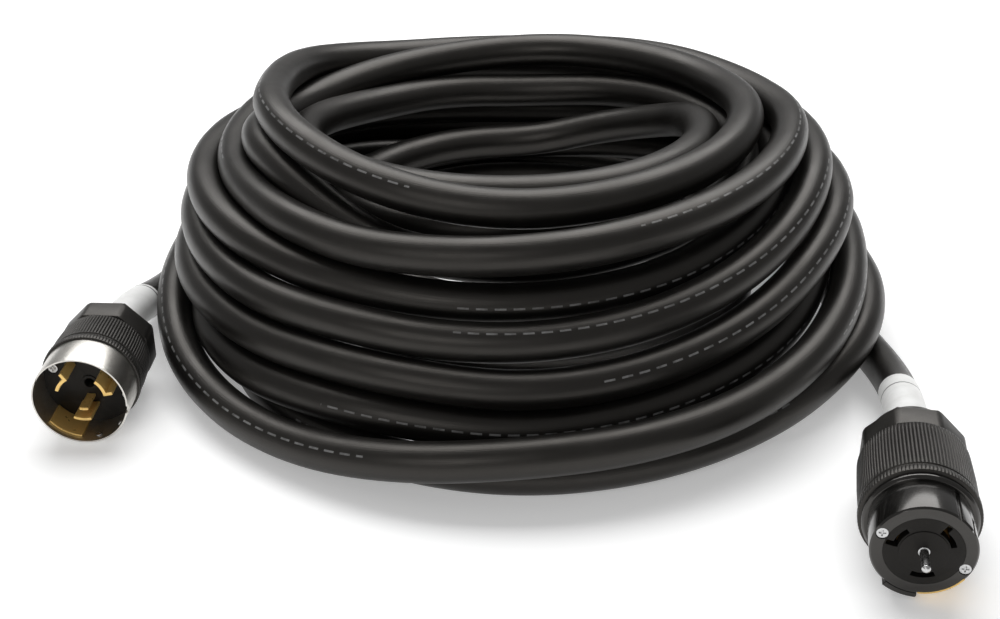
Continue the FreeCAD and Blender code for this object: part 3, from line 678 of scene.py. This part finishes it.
def block(name, place, radius, angle_deg, size_mm, high):
    """A box at a radius and angle round a fitting's axis; its size is outwards, sideways and lengthwise."""
    turn = Matrix.Rotation(math.radians(angle_deg), 4, "Z")
    spot = place @ turn @ Matrix.Translation(Vector((radius, 0, high)) * MM)
    half = [s * MM / 2 for s in size_mm]
    corners = [
        spot @ Vector((x * half[0], y * half[1], z * half[2]))
        for x in (-1, 1) for y in (-1, 1) for z in (-1, 1)
    ]
    faces = [(0, 1, 3, 2), (4, 6, 7, 5), (0, 4, 5, 1), (2, 3, 7, 6), (0, 2, 6, 4), (1, 5, 7, 3)]
    thing = add_mesh(name, corners, faces, smooth=False)
    normals_out(thing)
    return thing


def ring_part(name, place, inner, outer, start_deg, sweep_deg, low, high, made, round_mm=0.4):
    """A stretch of ring with rounded edges, fixed to the object."""
    steps = max(4, round(sweep_deg / 2))
    vertices, faces = [], []
    for i in range(steps + 1):
        angle = math.radians(start_deg + sweep_deg * i / steps)
        for radius, z in ((inner, low), (outer, low), (outer, high), (inner, high)):
            vertices.append(place @ (Vector((radius * math.cos(angle), radius * math.sin(angle), z)) * MM))
    for i in range(steps):
        for k in range(4):
            n = (k + 1) % 4
            faces.append((4 * i + k, 4 * i + n, 4 * i + 4 + n, 4 * i + 4 + k))
    faces += [(0, 1, 2, 3), (4 * steps + 3, 4 * steps + 2, 4 * steps + 1, 4 * steps)]
    thing = add_mesh(name, vertices, faces)
    normals_out(thing)
    solid = bmesh.new()
    solid.from_mesh(thing.data)
    sharp = [e for e in solid.edges if len(e.link_faces) == 2 and e.calc_face_angle() > math.radians(40)]
    bmesh.ops.bevel(solid, geom=sharp, offset=round_mm * MM, segments=3, affect="EDGES", clamp_overlap=True)
    solid.to_mesh(thing.data)
    solid.free()
    sharp_by_angle(thing, 35)
    thing.data.materials.append(made)
    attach(thing, "root")


# ---------------------------------------------------------------- stage

# a little light of the floor's own keeps the backdrop white to its edges
FLOOR_GLOW = 0.3


def make_stage():
    floor = add_mesh("floor", [(-6, -6, 0), (6, -6, 0), (6, 6, 0), (-6, 6, 0)], [(0, 1, 2, 3)])
    made, _, shader = material("floor_white", (0.9, 0.9, 0.9), 0.7)
    shader.inputs["Specular IOR Level"].default_value = 0.1
    shader.inputs["Emission Color"].default_value = (1, 1, 1, 1)
    shader.inputs["Emission Strength"].default_value = FLOOR_GLOW
    floor.data.materials.append(made)
    world = bpy.data.worlds.new("world")
    world.use_nodes = True
    world.node_tree.nodes["Background"].inputs["Color"].default_value = (1, 1, 1, 1)
    world.node_tree.nodes["Background"].inputs["Strength"].default_value = 0.28
    bpy.context.scene.world = world


def area_light(name, at, towards, wide, high, power):
    data = bpy.data.lights.new(name, "AREA")
    data.shape, data.size, data.size_y, data.energy = "RECTANGLE", wide, high, power
    light = bpy.data.objects.new(name, data)
    light.location = at
    light.rotation_euler = (Vector(towards) - Vector(at)).to_track_quat("-Z", "Y").to_euler()
    bpy.context.scene.collection.objects.link(light)


def make_lights():
    area_light("overhead_softbox", (0.0, 1.25, 1.9), (0.0, 0.2, 0.05), 2.8, 1.9, 62)
    area_light("front_fill", (-0.9, -1.9, 1.3), (0.0, 0.0, 0.03), 1.2, 0.7, 7)


# ---------------------------------------------------------------- all of it

make_camera()
jacket = jacket_material()
cable, cable_line = make_cable(jacket)
white_vinyl = label_material()
sleeves = [make_label(kind, cable_line, white_vinyl) for kind in ("plug", "connector")]

casing_plastic = moulded_material("casing_nylon", (0.009, 0.0086, 0.008), 0.4, dust=0.012)
nose_plastic = moulded_material("nose_nylon", (0.006, 0.0058, 0.0055), 0.17, 500.0, 0.05, 0.004, coat=0.4)
face_plastic = moulded_material("face_nylon", (0.006, 0.0058, 0.0055), 0.45, dust=0.006, gloss=0.24)
nickel = metal_material(
    "satin_nickel", (0.66, 0.64, 0.6), 0.3, brushed=(1, 12, 1), brush_scale=500.0, grain=0.08,
)
brass = metal_material(
    "brass", (0.86, 0.58, 0.2), 0.3, brush_scale=260.0, grain=0.03, tarnish=0.1, metallic=0.6,
)
steel = metal_material("zinc_steel", (0.6, 0.6, 0.6), 0.24, brush_scale=400.0, grain=0.05)

NUT_LENGTH_MM = 28.0
NUT_TAPER_MM = 11.0
make_casing("plug", PLUG, 29.25, 31.0, NUT_LENGTH_MM, 61.0, 29.6, casing_plastic)
make_casing("connector", CONNECTOR, 31.5, 33.0, NUT_LENGTH_MM, 78.0, 26.8, casing_plastic)
make_nut("plug", PLUG, 56.0, NUT_LENGTH_MM, NUT_TAPER_MM, 40.0, casing_plastic)
make_nut("connector", CONNECTOR, 57.5, NUT_LENGTH_MM, NUT_TAPER_MM, 46.0, casing_plastic)

for node, width in (
    ("plug_shell", 0.3), ("plug_face", 0.4), ("plug_face_screws", 0.35), ("plug_rivets", 0.3),
    ("connector_face", 0.3), ("connector_face_screws", 0.35), ("connector_collar", 0.4),
):
    made = {"shell": nickel, "face": face_plastic, "collar": nose_plastic}.get(node.split("_", 1)[1], steel)
    softened(node, width, made)
for node in (
    "plug_blade_left", "plug_blade_right", "plug_blade_bottom", "plug_ground_clip", "connector_ground_strip",
):
    softened(node, 0.5, brass)
softened("connector_pilot_pin", 0.5, steel)
grooves = [
    block("key_groove", CONNECTOR, 28.6, 56, (3.6, 3.0, 40), 96),
    block("key_notch", CONNECTOR, 28.6, 32, (2.8, 3.0, 24), 106),
]
softened("connector_nose", 0.35, nose_plastic, grooves)
ring_part("nose_key", CONNECTOR, 27.2, 30.6, 232, 37.5, 82.2, 105.9, nose_plastic, 0.5)
ring_part("pilot_hole_rim", PLUG, 3.3, 5.0, 0, 359.9, 62.6, 63.7, face_plastic, 0.3)
ring_part("bottom_blade_inner_leg", PLUG, 8.2, 10.0, 252, 34, 62.0, 80.0, brass, 0.4)

looks = {
    "jacket": jacket, "casing": casing_plastic, "nose": nose_plastic, "face": face_plastic, "nickel": nickel,
    "brass": brass, "steel": steel, "label": white_vinyl,
    "seal": moulded_material("seal_rubber", (0.02, 0.02, 0.02), 0.6),
    "nylon": moulded_material("ring_nylon", (0.7, 0.68, 0.62), 0.4),
    "wire_black": moulded_material("wire_black", (0.02, 0.02, 0.02), 0.4),
    "wire_red": moulded_material("wire_red", (0.5, 0.03, 0.02), 0.4),
    "wire_white": moulded_material("wire_white", (0.75, 0.75, 0.72), 0.4),
    "wire_green": moulded_material("wire_green", (0.02, 0.25, 0.06), 0.4),
}
for part in frame["record"]["subparts"]:
    dress(part["node"], looks[part["material_slot"]])

make_stage()
make_lights()
bpy.context.scene.view_settings.view_transform = "Standard"
